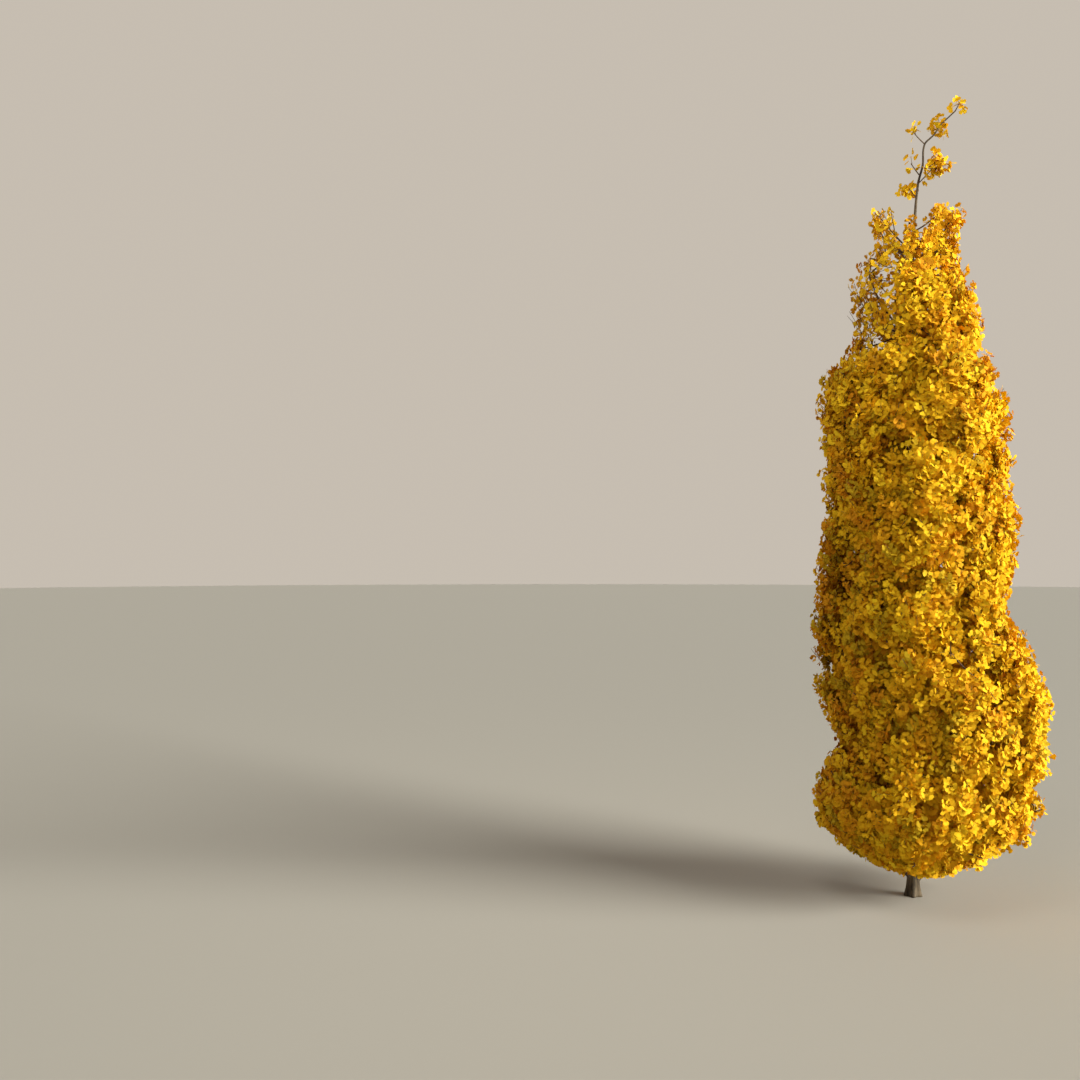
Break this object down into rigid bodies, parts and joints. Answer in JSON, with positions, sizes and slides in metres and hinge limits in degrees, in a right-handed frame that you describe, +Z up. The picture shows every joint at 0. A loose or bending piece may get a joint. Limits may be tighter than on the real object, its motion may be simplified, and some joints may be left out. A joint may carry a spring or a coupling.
{
  "type": "columnar ginkgo tree in autumn leaf",
  "caption": "Narrow upright young ginkgo with a whole trunk, ascending boughs and dense golden fan leaves, cut flat at ground level.",
  "frame": {"origin": "middle of the flat cut under the trunk, at ground level", "axes": "+Z up along the trunk, +X towards the side where the picture shows the crown wider, turned 18 degrees off it"},
  "size_m": [1.1199, 1.1225, 4.0143],
  "materials": {
    "bark": "grey-brown bark, finely furrowed, matt",
    "leaf_gold": "golden autumn leaf, satin",
    "leaf_yellow": "bright yellow autumn leaf, satin",
    "leaf_amber": "amber autumn leaf, satin",
    "leaf_lemon": "lemon yellow autumn leaf, satin",
    "leaf_olive": "olive gold autumn leaf, satin"
  },
  "bodies": {
    "root": {"trunk": "bark", "bough_a1": "bark", "bough_a2": "bark", "bough_a3": "bark", "bough_a4": "bark", "bough_b1": "bark", "bough_b2": "bark", "bough_b3": "bark", "bough_b4": "bark", "bough_c1": "bark", "bough_c2": "bark", "bough_c3": "bark", "bough_c4": "bark", "bough_d1": "bark", "bough_d2": "bark", "bough_d3": "bark", "bough_d4": "bark", "bough_e1": "bark", "bough_e2": "bark", "bough_e3": "bark", "bough_e4": "bark", "foliage_a1": "leaf_gold", "foliage_a2": "leaf_yellow", "foliage_a3": "leaf_amber", "foliage_a4": "leaf_lemon", "foliage_b1": "leaf_olive", "foliage_b2": "leaf_gold", "foliage_b3": "leaf_yellow", "foliage_b4": "leaf_amber", "foliage_c1": "leaf_lemon", "foliage_c2": "leaf_olive", "foliage_c3": "leaf_gold", "foliage_c4": "leaf_yellow", "foliage_d1": "leaf_amber", "foliage_d2": "leaf_lemon", "foliage_d3": "leaf_olive", "foliage_d4": "leaf_gold", "foliage_e1": "leaf_yellow", "foliage_e2": "leaf_amber", "foliage_e3": "leaf_lemon", "foliage_e4": "leaf_olive", "foliage_f1": "leaf_gold", "foliage_f2": "leaf_yellow", "foliage_f3": "leaf_amber", "foliage_g1": "leaf_lemon", "foliage_g2": "leaf_olive", "foliage_g3": "leaf_gold", "foliage_leader_left": "leaf_yellow", "foliage_leader_right": "leaf_amber", "foliage_leader_mid": "leaf_lemon", "foliage_fork": "leaf_olive", "foliage_leader_high": "leaf_gold", "foliage_tip": "leaf_yellow"}
  },
  "joints": []
}
